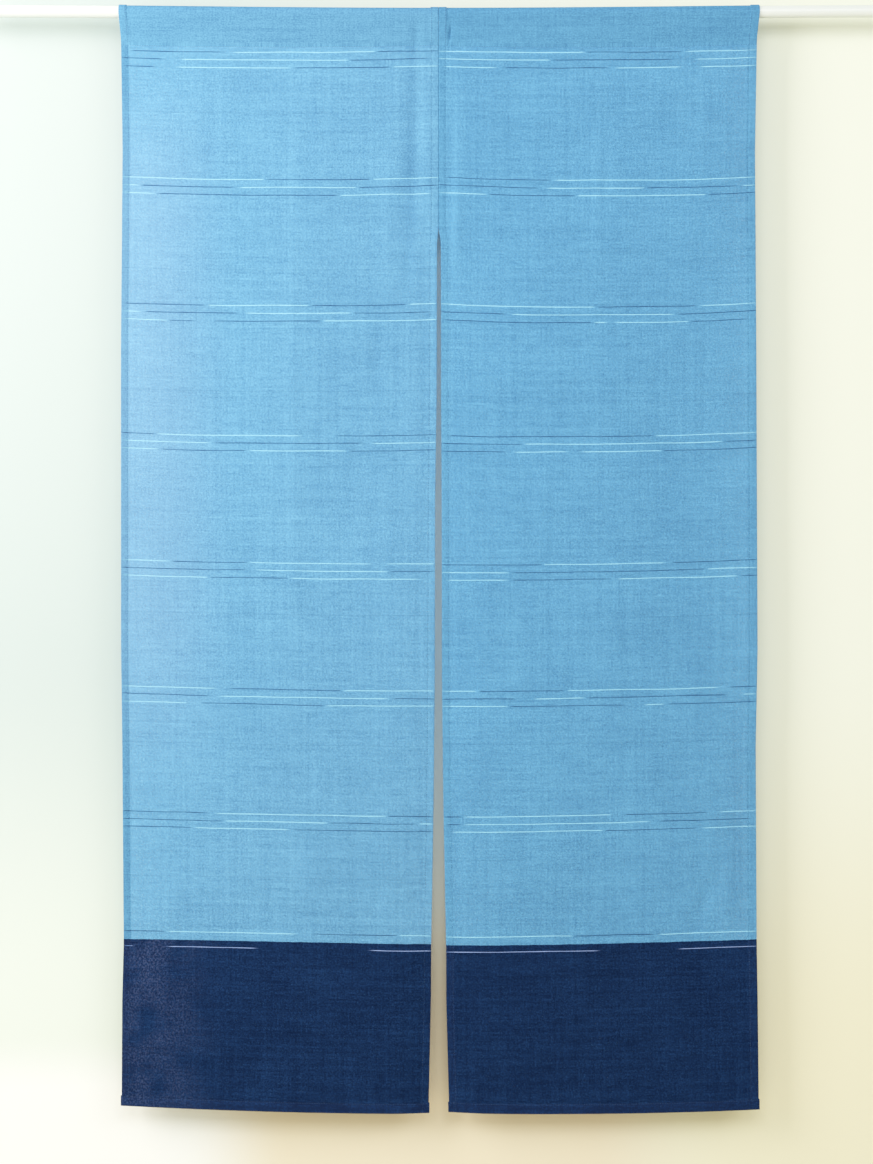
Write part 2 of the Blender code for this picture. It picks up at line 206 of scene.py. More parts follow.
rightPanel = {
    "name": "right_cloth",
    "node": "right_panel",
    "side": 1,
    "outerStitch": 0.0104,
    "innerStitch": 0.0094,
    # how doubled each part is taken to be, which also sets its painted shade
    "layers": {"pocket": 1.1, "outer": 0.80, "seam": 1.15, "slit": 0.95, "foot": 1.2},
    # painted light: darker, for the length farther from the light
    "dye": (0.885, 0.91, 0.82),
    "outerEdge": (
        (0.000, 0.4311), (0.045, 0.4283), (0.200, 0.4257), (0.460, 0.4274), (0.870, 0.4291),
        (1.000, 0.4266), (1.262, 0.4279), (1.340, 0.4292), (1.487, 0.4308),
    ),
    "slitEdge": (
        (0.325, 0.0033), (0.530, 0.0036), (0.664, 0.0043), (0.906, 0.0047),
        (1.070, 0.0066), (1.262, 0.0103), (1.335, 0.0105), (1.487, 0.0144),
    ),
    "droop": (
        (0.060, -0.0036, 0.0000, -0.0018),
        (0.233, -0.0048, 0.0002, -0.0048),
        (0.403, -0.0050, 0.0010, -0.0042),
        (0.577, -0.0052, 0.0005, -0.0009),
        (0.750, -0.0050, 0.0009, 0.0019),
        (0.919, -0.0046, 0.0007, 0.0027),
        (1.088, -0.0049, 0.0008, 0.0040),
        (1.258, -0.0036, 0.0020, 0.0055),
        (1.487, -0.0036, 0.0020, 0.0010),
    ),
    "crease": {"at": 0.2130, "height": 0.0060, "starts": 0.060, "full": 0.380, "lost": 0.70},
    "folds": (
        (0.0240, 0.060, 0.0230, 0.420, 0.0090, 0.0028),
        (0.0500, 0.240, 0.0540, 0.430, 0.0110, -0.0022),
        (0.3250, 0.250, 0.3200, 0.950, 0.0500, -0.0018),
        (0.1405, 0.540, 0.1405, 0.790, 0.0110, 0.0012),
        (0.3900, 1.120, 0.3880, 1.280, 0.0090, 0.0016),
        (0.3800, 1.150, 0.3380, 1.260, 0.0100, -0.0018),
    ),
    "fineFolds": (
        (0.0178, 0.004, 0.0138, 0.064, 0.0017, -0.0030),
        (0.4050, 0.020, 0.3980, 0.120, 0.0040, -0.0006),
        (0.0240, 0.060, 0.0230, 0.420, 0.0090, -0.0015),
        (0.0200, 0.200, 0.0260, 0.380, 0.0070, 0.0020),
        (0.0500, 0.240, 0.0540, 0.430, 0.0110, 0.0013),
        (0.2120, 0.110, 0.2120, 0.420, 0.0060, 0.0009),
        (0.2270, 0.120, 0.2260, 0.300, 0.0035, -0.0006),
        (0.1740, 0.190, 0.1760, 0.270, 0.0040, -0.0006),
        (0.3990, 1.110, 0.3970, 1.210, 0.0040, -0.0007),
    ),
    "stripes": (
        (0.0618, "p0-197 d198-326 p334-428", "p0-151 d152-315 p347-428", "p9-77 d89-228 p240-324 p354-428"),
        (0.2342, "d11-150 p158-425", "d1-132 p147-276 d280-400 p410-425", "p2-64 d68-185 p186-360 d361-425"),
        (0.4039, "p3-210 d212-346 p354-428", "d3-90 p99-314 d322-428", "d9-206 p209-225 p239-337 d338-414"),
        (0.5780, "d15-290 p290-428", "d5-114 p115-380 d385-428", "d5-90 p103-172 p193-300 d300-428"),
        (0.7490, "d5-139 p142-302 d314-428", "p5-92 d100-360 p360-428", "p13-92 d99-229 p243-403 d404-428"),
        (0.9186, "p5-52 d53-169 p174-375 d391-426", "d5-103 p131-196 d198-386 p410-426",
         "p5-93 d95-250 p278-303 d309-426"),
        (1.0865, "d9-32 p37-230 d250-361 p380-428", "d12-32 p36-282 d298-418", "p20-221 d223-345 p356-428"),
        (1.2470, "p11-181 d182-289 p297-427", "", "p11-213 p325-427"),
    ),
    "slubs": (0.1420, 0.3300, 0.5250, 0.8210, 0.9900, 1.1450),
    # painted light and shade along creases and folds, as for the left length
    "paintedFoldLight": (
        (0.0200, 0.040, 0.420, 0.0130, 1.10),
        (0.2090, 0.140, 0.300, 0.0050, 0.60),
        (0.2090, 0.480, 1.050, 0.0060, 0.30),
        (0.3300, 0.840, 1.000, 0.0060, 0.50),
        (0.3480, 0.850, 1.000, 0.0050, -0.50),
        (0.3900, 1.110, 1.210, 0.0050, 0.60),
        (0.4030, 0.050, 0.300, 0.0100, -1.10),
        (0.3990, 0.940, 1.270, 0.0090, -1.10),
        (0.2800, 0.780, 0.960, 0.0075, -0.60),
        (0.2950, 0.980, 1.100, 0.0075, -0.60),
        (0.2550, 0.980, 1.220, 0.0060, 0.40),
    ),
}
wovenLines = {
    "apart": 0.0105,            # between the lines of a group
    "apartLower": 0.0102,
    "lowerFrom": 0.5,           # drop
    "fade": 0.012,              # how long a stretch takes to fade in
    "slub": 0.22,               # how dark a thick yarn shows, of a dark line
    "slubEnd": 0.5,             # past the outer edge
}
paintedFoldLightEnds = 1.6                  # how quickly a crease's painted light or shade comes in at its ends
slack = {
    # waves to the metre across and down, which pattern, depth
    "waves": ((9.0, 2.6, 3.0, 0.0011), (34.0, 11.0, 7.0, 0.00028)),
    "fullDrop": 0.16,
}

stitching = {
    "pitch": 0.0032,
    "length": 0.0026,
    "thickness": 0.00045,
    "sides": 5,
    "rings": 4,
    "sunk": 0.00006,            # how far the middle of a stitch lies under the cloth's face
    "swing": 4.0,               # degrees that stitches lean out of line
    "swingStep": 7.3,
    # how deep stitches draw the cloth in and how far to each side: along the side hems, then across
    "dip": (0.00028, 0.00030),
    "dipWidth": (0.0007, 0.0007),
    "puckerWidth": (0.004, 0.005),
    "thread": (0.012, 0.048, 0.130),
    "threadTones": (0.75, 1.2),
    "fuzz": (900.0, 900.0, 900.0),
    "roughness": 0.7,
}


def ease(value, start, end):
    share = min(max((value - start) / (end - start), 0.0), 1.0)
    return share * share * (3.0 - 2.0 * share)


def readTable(table, value, column=1):
    if value <= table[0][0]:
        return table[0][column]
    for low, high in zip(table, table[1:]):
        if value <= high[0]:
            share = (value - low[0]) / (high[0] - low[0])
            return low[column] + share * (high[column] - low[column])
    return table[-1][column]


def deselectAll():
    if bpy.context.object and bpy.context.object.mode != "OBJECT":
        bpy.ops.object.mode_set(mode="OBJECT")
    bpy.ops.object.select_all(action="DESELECT")


def finishMesh(piece, smoothAngle):
    # applies the modifiers, and shades edges below the angle smooth
    deselectAll()
    piece.select_set(True)
    bpy.context.view_layer.objects.active = piece
    for modifier in list(piece.modifiers):
        bpy.ops.object.modifier_apply(modifier=modifier.name)
    bpy.ops.object.shade_smooth_by_angle(angle=math.radians(smoothAngle))


def shaded(colour, share):
    return tuple(part * share for part in colour)


class Wire:
    # one socket of a material; sums and products of it add Math nodes
    def __init__(self, finish, socket):
        self.finish = finish
        self.socket = socket

    def maths(self, operation, *values):
        return self.finish.node("ShaderNodeMath", {"operation": operation}, dict(enumerate(values)))

    def __add__(self, other):
        return self.maths("ADD", self, other)

    def __sub__(self, other):
        return self.maths("SUBTRACT", self, other)

    def __rsub__(self, other):
        return self.maths("SUBTRACT", other, self)

    def __mul__(self, other):
        return self.maths("MULTIPLY", self, other)

    def __abs__(self):
        return self.maths("ABSOLUTE", self)

    __radd__ = __add__

    def atLeast(self, other):
        return self.maths("MAXIMUM", self, other)

    def sine(self):
        return self.maths("SINE", self)

    def rise(self, start, end):
        # 0 before start, 1 after end, smooth between; start above end turns it round
        low, high, first, last = (start, end, 0.0, 1.0) if start < end else (end, start, 1.0, 0.0)
        return self.finish.node(
            "ShaderNodeMapRange",
            {"interpolation_type": "SMOOTHSTEP"},
            {"Value": self, "From Min": low, "From Max": high, "To Min": first, "To Max": last},
        )


flatNoise = 0.78                # flat noise swings wider, so it is drawn in to this share


class Finish:
    # a node material in the making
    def __init__(self, name):
        self.material = bpy.data.materials.new(name)
        self.material.use_nodes = True
        self.tree = self.material.node_tree
        self.tree.nodes.clear()

    def node(self, kind, settings=None, sockets=None, output=0):
        made = self.tree.nodes.new(kind)
        for key, value in (settings or {}).items():
            setattr(made, key, value)
        for key, value in (sockets or {}).items():
            if isinstance(value, Wire):
                self.tree.links.new(value.socket, made.inputs[key])
            else:
                made.inputs[key].default_value = value
        return Wire(self, made.outputs[output])

    def uv(self):
        return self.node("ShaderNodeUVMap", {"uv_map": "cloth"})

    def place(self):
        return self.node("ShaderNodeTexCoord", output="Object")

    def parts(self, vector):
        split = self.node("ShaderNodeSeparateXYZ", sockets={"Vector": vector}).socket.node
        return [Wire(self, output) for output in split.outputs]

    def attribute(self, name, output="Fac"):
        return self.node("ShaderNodeAttribute", {"attribute_name": name}, output=output)

    def stretched(self, vector, scale):
        return self.node("ShaderNodeVectorMath", {"operation": "MULTIPLY"}, {0: vector, 1: scale})

    def grain(self, vector, scale, detail=1.0):
        # noise from 0 to 1, scale features to the metre each way; with two scales it is flat, and quicker
        flat = len(scale) == 2
        made = self.node(
            "ShaderNodeTexNoise",
            {"noise_dimensions": "2D" if flat else "3D"},
            {"Vector": self.stretched(vector, (*scale, 1.0)[:3]), "Scale": 1.0, "Detail": detail},
            "Fac",
        )
        return made * flatNoise + (1.0 - flatNoise) / 2 if flat else made

    def colour(self, share, first, second, blend="MIX", clamped=True):
        # Mix has sockets for each kind of data: 0 is the factor, 6 and 7 the colours, output 2 the result
        return self.node(
            "ShaderNodeMix",
            {"data_type": "RGBA", "blend_type": blend, "clamp_factor": clamped},
            {0: share, 6: self.solid(first), 7: self.solid(second)},
            2,
        )

    def solid(self, value):
        return value if isinstance(value, Wire) else (*value, 1.0)

    def bump(self, height):
        # the height is in millimetres
        return self.node("ShaderNodeBump", sockets={"Height": height, "Strength": 1.0, "Distance": 0.001})

    def principled(self, sockets):
        return self.node("ShaderNodeBsdfPrincipled", sockets=sockets)

    def translucent(self, colour):
        return self.node("ShaderNodeBsdfTranslucent", sockets={"Color": self.solid(colour)})

    def mixed(self, share, first, second):
        return self.node("ShaderNodeMixShader", sockets={0: share, 1: first, 2: second})

    def done(self, surface):
        output = self.tree.nodes.new("ShaderNodeOutputMaterial")
        self.tree.links.new(surface.socket, output.inputs["Surface"])
        return self.material


# the yarns' thick and thin places: marks to the metre across and down the cloth, detail, share in the tone
yarnGrain = {
    "speckle": ((410.0, 420.0), 1.0, 1.3),
    "weftSlub": ((45.0, 480.0), 1.0, 0.52),     # long and low
    "warpSlub": ((480.0, 60.0), 1.0, 0.39),     # tall and narrow
    "wholeWeft": ((3.0, 240.0), 1.0, 0.38),
    "wholeWarp": ((220.0, 3.0), 1.0, 0.35),
    "cloudy": ((11.0, 16.0), 2.0, 0.33),
    "blotch": ((100.0, 120.0), 1.0, 0.2),
    "weftBand": ((14.0, 120.0), 1.0, 0.3),
    "warpBand": ((60.0, 11.0), 0.0, 0.09),
}
clothLook = {
    "pale": (0.163, 0.490, 1.000),      # light blue yarn
    "deep": (0.092, 0.300, 0.670),
    # painted shade: colour multipliers for doubled cloth, standing in for the light that does not come
    # through
    "paintedDoubledShade": (0.68, 0.71, 0.73),
    "navyPaintedDoubledShade": (0.40, 0.49, 0.56),
    "navy": (0.0020, 0.0148, 0.0640),
    "navyPale": (0.0100, 0.0435, 0.1480),
    "paleLine": (0.295, 0.69, 0.98),
    "darkLine": (0.012, 0.045, 0.130),
    "navyLine": (0.25, 0.36, 0.71),
    "grainOnDoubled": 0.4,              # how much more the grain stands out where the cloth is doubled
    # how strongly the painted light and shade of creases and folds show
    "paintedFoldLightTone": 0.12,
    "navyTones": (0.1, 1.3),            # the tones at which the navy is darkest and palest
    "navyPaintedShadeLess": 0.35,                # how much less painted shade the navy takes where it is doubled
    # places on the cloth start where the first number says and are full at the second
    "paintedLeftLight": (0.36, 0.56, 0.90),        # painted light, paler by the outer hem of the left length where the light falls from the left
    "paintedLeftLightShare": 0.21,
    "paintedLeftLightAcross": (-0.26, -0.39),
    "paintedLeftLightTop": (0.05, 0.30),
    "paintedLeftLightFoot": (1.12, 0.78),
    # painted light on the navy by the left length's outer edge, in patches
    "navyPaintedLight": (0.090, 0.125, 0.280),
    "navyPaintedLightShare": 0.46,
    "navyPaintedLightAcross": (-0.28, -0.40),
    "mottle": (380.0, 360.0),
    "mottleTones": (0.42, 0.66),
    "mottleLeast": 0.1,
    "patches": (22.0, 22.0),
    "patchTones": (0.28, 0.66),
    "footWave": (60.0, 1.0),            # of the woven edge between light blue and navy
    "footWaveHeight": 0.0008,
    "footBlur": 0.0003,
    "paleEdge": (0.000625, 0.000325),   # from a line's middle: where it ends, and where it is full
    "darkEdge": (0.000750, 0.000450),
    "lineWave": (11.0, 60.0),
    "lineWaveHeight": 0.225,            # of the distance between lines
    "lineStrength": 0.88,
    "lineUnevenness": 0.7,
    "yarnPitch": 0.00062,
    "relief": {"weftSlub": 0.10, "warpSlub": 0.09, "speckle": 0.08},    # millimetres, as the next two
    "weaveRelief": 0.03,
    "puckerRelief": 0.55,
    "puckers": (90.0, 260.0),
    "roughness": 0.85,
    "shine": 0.12,
    "through": 0.40,                    # share of the light that one layer lets through
    "throughHem": 0.12,
    "throughLines": 0.85,               # how much less comes through a woven line
    "thinness": (1.3, 0.6),             # how thin the darkest tone is, and how much less the palest
    "pinholes": (430.0, 430.0),
    "pinholeTones": (0.56, 0.74),
    "pinholesByBlotch": (1.3, 0.9),     # the most, and how much fewer in a pale blotch
    "pinholeShares": (0.6, 0.52),       # in the light blue, and how much less in the navy
    "glow": (0.50, 0.65, 0.79),         # colour of the light that comes through the light blue
    "navyGlow": (0.020, 0.040, 0.130),
    "gapGlow": (0.95, 0.87, 0.84),      # and through the gaps between yarns
}


def clothMaterial(name, dye):
    look = clothLook
    # the two blues, times the length's painted light
    deep, paleBlue = (tuple(part * share for part, share in zip(look[key], dye)) for key in ("deep", "pale"))
    finish = Finish(name)
    uv = finish.uv()
    across, down, _ = finish.parts(uv)
    doubledAndShaded = finish.attribute("layers")

    grains = {kind: finish.grain(uv, scale, detail) for kind, (scale, detail, _) in yarnGrain.items()}
    tone = 0.0
    for kind, (_, _, share) in yarnGrain.items():
        tone = tone + (grains[kind] - 0.5) * share
    tone = 0.5 + tone * (1.0 + doubledAndShaded * look["grainOnDoubled"]) + finish.attribute("paintedFoldLight") * look["paintedFoldLightTone"]

    blue = finish.colour(tone, deep, paleBlue)
    navy = finish.colour(tone.rise(*look["navyTones"]), look["navy"], look["navyPale"])
    mottle = finish.grain(uv, look["mottle"]).rise(*look["mottleTones"])
    mottle = look["mottleLeast"] + mottle * (1.0 - look["mottleLeast"])
    patches = finish.grain(uv, look["patches"]).rise(*look["patchTones"])
    # painted light: patchy paler navy towards the left length's outer edge
    navyPaintedLightMask = across.rise(*look["navyPaintedLightAcross"]) * mottle * patches
    navy = finish.colour(navyPaintedLightMask * look["navyPaintedLightShare"], navy, look["navyPaintedLight"])
    # painted light: the light blue turns paler towards the left length's outer hem
    paintedLeftLightMask = across.rise(*look["paintedLeftLightAcross"]) * down.rise(*look["paintedLeftLightTop"]) * down.rise(*look["paintedLeftLightFoot"])
    blue = finish.colour(paintedLeftLightMask * look["paintedLeftLightShare"], blue, look["paintedLeftLight"])
    footWave = (finish.grain(uv, look["footWave"], 0.0) - 0.5) * look["footWaveHeight"]
    foot, blur = weave["darkFoot"], look["footBlur"]
    inNavy = (down + footWave).rise(foot - blur, foot + blur)

    # three woven lines to a group, each pale in some stretches and dark in others
    wave = (finish.grain(uv, look["lineWave"]) - 0.5) * look["lineWaveHeight"]
    lineAt = finish.attribute("lineAt") + wave
    tones = finish.parts(finish.attribute("lineTone", "Vector"))
    paleEdge = [edge / wovenLines["apart"] for edge in look["paleEdge"]]
    darkEdge = [edge / wovenLines["apart"] for edge in look["darkEdge"]]
    pale, dark = 0.0, 0.0
    for number, shown in enumerate(tones):
        fromLine = abs(lineAt - float(number))
        pale = pale + fromLine.rise(*paleEdge) * shown.atLeast(0.0)
        dark = dark + fromLine.rise(*darkEdge) * (shown * -1.0).atLeast(0.0)
    strength = look["lineStrength"] + (grains["weftSlub"] - 0.5) * look["lineUnevenness"]
    blue = finish.colour(dark * strength, blue, look["darkLine"])
    blue = finish.colour(pale * strength, blue, look["paleLine"])
    navy = finish.colour(pale * strength, navy, look["navyLine"])
    colour = finish.colour(inNavy, blue, navy)
    # painted shade where the cloth is doubled; past 1 it darkens further than the shade itself
    paintedShade = finish.colour(inNavy, look["paintedDoubledShade"], look["navyPaintedDoubledShade"])
    paintedShading = doubledAndShaded * (1.0 - inNavy * look["navyPaintedShadeLess"])
    colour = finish.colour(paintedShading, colour, finish.colour(1.0, colour, paintedShade, "MULTIPLY"), clamped=False)

    # plain weave: warp and weft pass over each other in turn
    turn = 2.0 * math.pi / look["yarnPitch"]
    height = (across * turn).sine() * (down * turn).sine() * look["weaveRelief"]
    for kind, amount in look["relief"].items():
        height = height + grains[kind] * amount
    pucker = (finish.grain(uv, look["puckers"], 0.0) - 0.5) * finish.attribute("pucker")
    front = finish.principled({
        "Base Color": colour,
        "Roughness": look["roughness"],
        "Specular IOR Level": look["shine"],
        "Normal": finish.bump(height + pucker * look["puckerRelief"]),
    })

    # what shines through: the yarns, and small gaps between them where the cloth is thin
    most, byBlotch = look["pinholesByBlotch"]
    inBlue, byNavy = look["pinholeShares"]
    pinholes = finish.grain(uv, look["pinholes"], 0.0).rise(*look["pinholeTones"])
    pinholes = pinholes * (most - grains["blotch"] * byBlotch) * (inBlue - inNavy * byNavy)
    yarns = finish.mixed(inNavy, finish.translucent(look["glow"]), finish.translucent(look["navyGlow"]))
    behind = finish.mixed(pinholes, yarns, finish.translucent(look["gapGlow"]))
    thinnest, byTone = look["thinness"]
    through = look["through"] - doubledAndShaded * (look["through"] - look["throughHem"])
    through = through * (thinnest - tone * byTone) * (1.0 - (pale + dark) * look["throughLines"])
    return finish.done(finish.mixed(through.atLeast(0.0), front, behind))


def threadMaterial():
    finish = Finish("sewing thread")
    fuzz = finish.grain(finish.place(), stitching["fuzz"], 2.0)
    colour = finish.colour(fuzz, *(shaded(stitching["thread"], share) for share in stitching["threadTones"]))
    return finish.done(finish.principled({"Base Color": colour, "Roughness": stitching["roughness"]}))


def rodMaterial():
    finish = Finish("white rod paint")
    place = finish.place()
    streaks = finish.grain(place, rod["streaks"], 3.0)
    peel = finish.grain(place, rod["peel"])
    smoothest, byStreaks = rod["roughness"]
    streakHeight, peelHeight = rod["heights"]
    return finish.done(finish.principled({
        "Base Color": finish.colour(streaks, shaded(rod["paint"], rod["streakShade"]), rod["paint"]),
        "Roughness": smoothest + streaks * byStreaks,
        "Coat Weight": rod["coat"],
        "Normal": finish.bump(streaks * streakHeight + peel * peelHeight),
    }))


def rodHeight(x):
    share = min(max((x - rod["heldEnd"]) / (rod["length"] - 2.0 * rod["heldEnd"]), 0.0), 1.0)
    return -rod["sag"] * (4.0 * share * (1.0 - share)) ** 2


def makeRod():
    # a cylinder along X, cut across so that it can bow, with its ends eased
    deselectAll()
    middle = (rodBox[0] + rodBox[1]) / 2
    bpy.ops.mesh.primitive_cylinder_add(
        vertices=rod["sides"], radius=rod["radius"], depth=rod["length"],
        location=(middle.x, 0.0, 0.0), rotation=(0.0, math.pi / 2, 0.0),
    )
    piece = bpy.context.object
    piece.name = rod["name"]
    bpy.ops.object.transform_apply(location=True, rotation=True, scale=True)
    bpy.ops.object.mode_set(mode="EDIT")
    for number in range(1, rod["cuts"]):
        x = rodBox[0].x + rod["length"] * number / rod["cuts"]
        bpy.ops.mesh.select_all(action="SELECT")
        bpy.ops.mesh.bisect(plane_co=(x, 0.0, 0.0), plane_no=(1.0, 0.0, 0.0))
    bpy.ops.object.mode_set(mode="OBJECT")
    for vertex in piece.data.vertices:
        vertex.co.z += rodHeight(vertex.co.x)
    bevel = piece.modifiers.new("eased ends", "BEVEL")
    bevel.width = rod["easedEnd"]
    bevel.segments = rod["easedSteps"]
    bevel.limit_method = "ANGLE"
    bevel.angle_limit = math.radians(rod["sharpAngle"])
    finishMesh(piece, rod["smoothAngle"])
    piece.data.materials.append(rodMaterial())
    return piece


def hemCorner(drop):
    return weave["hemCorner"] if drop > weave["foot"] - weave["footHem"] else 0.0


def outerEdge(panel, drop):
    return readTable(panel["outerEdge"], drop) + hemCorner(drop)


def innerEdge(panel, drop):
    shut = weave["contact"]
    opened = readTable(panel["slitEdge"], drop) - hemCorner(drop)
    return shut + ease(drop, weave["slitTop"], weave["slitTop"] + weave["slitPoint"]) * (opened - shut)


def hang(panel, distance, drop):
    across = 1.0 - distance / outerEdge(panel, drop)
    outer, middle, inner = (readTable(panel["droop"], drop, column) for column in (1, 2, 3))
    belly = 1.0 - abs(2.0 * across - 1.0) ** weave["droopFlatness"]
    return outer + across * (inner - outer) + (middle - (outer + inner) / 2.0) * belly


def foldRelief(folds, distance, drop):
    relief = 0.0
    for top, topDrop, foot, footDrop, halfWidth, amount in folds:
        along = (drop - topDrop) / (footDrop - topDrop)
        if 0.0 < along < 1.0:
            offset = distance - top - along * (foot - top)
            relief += amount * math.exp(-((offset / halfWidth) ** 2)) * math.sin(math.pi * along) ** 2
    return relief


def forward(panel, distance, drop):
    # how far the hanging cloth stands before its plane
    crease = panel["crease"]
    slope = math.hypot(distance - crease["at"], weave["creaseRounding"]) - weave["creaseRounding"]
    relief = crease["height"] * (1.0 - slope / crease["at"]) * ease(drop, crease["starts"], crease["full"])
    relief *= 1.0 - crease["lost"] * ease(drop, weave["creaseFadeDrop"], weave["foot"])
    relief += foldRelief(panel["folds"], distance, drop)
    relief *= ease(distance, weave["flatBySeam"], weave["fullFromSeam"])
    nearSlit = 1.0 - ease(distance, 0.0, weave["slitLeanWidth"])
    relief -= weave["slitLean"] * nearSlit * ease(drop, weave["slitTop"], weave["foot"])
    return relief + foldRelief(panel["fineFolds"], distance, drop) + slackness(panel, distance, drop)


def slackness(panel, distance, drop):
    # gentle unevenness of cloth that only its own weight pulls straight
    relief = 0.0
    for across, down, pattern, depth in slack["waves"]:
        relief += noise.noise(Vector((panel["side"] * distance * across, drop * down, pattern))) * depth
    return relief * ease(drop, weave["pocketStitch"], slack["fullDrop"])


def edgeRoll(fromEdge):
    # the front of a folded edge turns back like a quarter circle
    share = min(fromEdge / weave["edgeRoll"], 1.0)
    return weave["edgeRoll"] * weave["rollDepth"] * (1.0 - math.sqrt(1.0 - (1.0 - share) ** 2))


def sideHem(panel, edge):
    return weave["sideHem"] + panel[edge + "Stitch"] - weave["sideStitch"]


def hemLines(byEdge, stitch, hem, beyond):
    # where the mesh has its lines by a hem, from the folded edge inwards
    aboutStitches = [stitch + step for step in weave["byStitches"]]
    aboutEnd = [hem + step for step in weave["byHemEnd"]]
    return [*byEdge, *aboutStitches, *aboutEnd, *beyond]


def sideLines(panel, edge):
    lines = hemLines(weave["byEdge"], panel[edge + "Stitch"], sideHem(panel, edge), weave["besideHem"])
    return [(edge, line) for line in lines]


def panelColumns(panel):
    # (edge, distance in from it) by the hems, and (None, share of the width) between them
    between = readTable(panel["outerEdge"], weave["countAt"]) - 2.0 * weave["besideHem"][-1]
    count = round(between / weave["columnStep"])
    even = [(None, number / count) for number in range(1, count)]
    return sideLines(panel, "inner") + even + sideLines(panel, "outer")[::-1]


def columnDistance(panel, column, drop):
    edge, amount = column
    inner, outer = innerEdge(panel, drop), outerEdge(panel, drop)
    if edge == "inner":
        return inner + amount
    if edge == "outer":
        return outer - amount
    margin = weave["besideHem"][-1]
    return inner + margin + amount * (outer - inner - 2.0 * margin)


def panelRows():
    # (run, amount): drops up the front, shares of the pocket's runs, then drops down the pocket's back foot
    stitch = weave["pocketStitch"]
    ups = hemLines(weave["byFoot"], weave["footStitch"], weave["footHem"], weave["aboveHem"])
    drops = [weave["foot"] - up for up in ups]
    top, above, *pocket = (stitch + step for step in weave["byPocket"])
    steps = round((drops[-1] - top) / weave["rowStep"])
    drops += [drops[-1] + (top - drops[-1]) * number / steps for number in range(1, steps + 1)]
    rows = [("hanging", drop) for drop in (*drops, above, *pocket)]
    rows += [("front", number / weave["straightSteps"]) for number in range(weave["straightSteps"])]
    rows += [("wrap", number / weave["wrapSteps"]) for number in range(weave["wrapSteps"] + 1)]
    rows += [("back", number / weave["straightSteps"]) for number in range(1, weave["straightSteps"] + 1)]
    return rows + [("strip", stitch), ("strip", above), ("strip", weave["pocketFoot"])]


def thicknessAt(panel, column, row):
    edge, amount = column
    inSide = edge is not None and amount < sideHem(panel, edge)
    inFoot = row[0] == "hanging" and row[1] > weave["foot"] - weave["footHem"]
    if inSide or inFoot:
        return weave["hemLayers"]
    return weave["pocketHemLayers"] if row[0] == "strip" else weave["layer"]


def tangentAngle(reach, height, radius):
    return math.atan2(reach, height) - math.acos(radius / math.hypot(reach, height))


def nearStitches(panel, column, row, widths):
    # 1 on a row of stitches and 0 away from it: along the side hems, then across the foot and the pocket
    (edge, inwards), (run, level) = column, row
    side, across = 0.0, 0.0
    if edge is not None:
        side = math.exp(-(((inwards - panel[edge + "Stitch"]) / widths[0]) ** 2))
    if run == "hanging":
        drops = (weave["foot"] - weave["footStitch"], weave["pocketStitch"])
        across = max(math.exp(-(((level - drop) / widths[1]) ** 2)) for drop in drops)
    return side, across


def clothPoint(panel, column, row):
    # (place of the front of the cloth, distance from the seam, drop along the cloth)
    run, amount = row
    thickness = thicknessAt(panel, column, row)
    seamDrop = amount if run == "hanging" else weave["pocketStitch"]
    distance = columnDistance(panel, column, seamDrop)
    height = weave["foldHeight"] - seamDrop - hang(panel, distance, seamDrop)
    roll = edgeRoll(column[1]) if column[0] is not None else 0.0
    if run == "hanging":
        roll = max(roll, edgeRoll(weave["foot"] - amount))
        drawnIn = nearStitches(panel, column, row, stitching["dipWidth"])
        dip = max(depth * share for depth, share in zip(stitching["dip"], drawnIn))
        y = -weave["planeDepth"] - forward(panel, distance, amount) + roll + dip
        return (seamX + panel["side"] * distance, y, height), distance, amount

    frontBack = -weave["planeDepth"] + thicknessAt(panel, column, ("hanging", weave["pocketStitch"]))
    backDepth = frontBack + weave["contact"] + thickness
    if run == "strip":
        below = amount - weave["pocketStitch"]
        place = (seamX + panel["side"] * distance, backDepth - roll, height - below)
        return place, distance, -amount - weave["roundRod"]

    shares = {"front": 1.0 - amount, "wrap": 0.0, "back": amount}
    drop = weave["pocketStitch"] * shares[run]
    distance = columnDistance(panel, column, drop)
    x = seamX + panel["side"] * distance
    axis = rodHeight(x)
    low = height + weave["pocketStrip"] - axis
    radius = rod["radius"] + weave["contact"] + thickness
    frontTurn = tangentAngle(weave["planeDepth"], low, radius)
    backTurn = tangentAngle(backDepth, low, radius)
    if run == "wrap":
        angle = frontTurn - amount * (frontTurn + backTurn)
        rolled = radius - roll
        place = (x, -rolled * math.sin(angle), axis + rolled * math.cos(angle))
        return place, distance, radius * (angle - frontTurn)
    if run == "front":
        start = (-weave["planeDepth"], low)
        end = (-radius * math.sin(frontTurn), radius * math.cos(frontTurn))
    else:
        start = (radius * math.sin(backTurn), radius * math.cos(backTurn))
        end = (backDepth, low)
    y, z = (first + amount * (last - first) for first, last in zip(start, end))
    dent = -foldRelief(panel["fineFolds"], distance, drop) if run == "front" else 0.0
    inwards = roll if run == "front" else -roll
    return (x, y + inwards + dent, axis + z), distance, drop if run == "front" else -drop - weave["roundRod"]


def layersAt(panel, column, row):
    # 0 where the cloth is single; about 1 where it is doubled or more; the values also set the painted shade,
    # darkest along the sewn seam
    edge, amount = column
    run, level = row
    # a painted shadow along the sewn seam
    atSeam = edge == "inner" and amount < weave["paintedSeamShadowWidth"]
    if run != "hanging" or level < weave["pocketStitch"]:
        return weave["paintedSeamShadow"] if atSeam else panel["layers"]["pocket"]
    if level > weave["foot"] - weave["footHem"]:
        return panel["layers"]["foot"]
    if edge is None or amount > sideHem(panel, edge):
        return 0.0
    if edge == "outer":
        return panel["layers"]["outer"]
    if level > weave["slitTop"]:
        return panel["layers"]["slit"]
    return weave["paintedSeamShadow"] if atSeam else panel["layers"]["seam"]


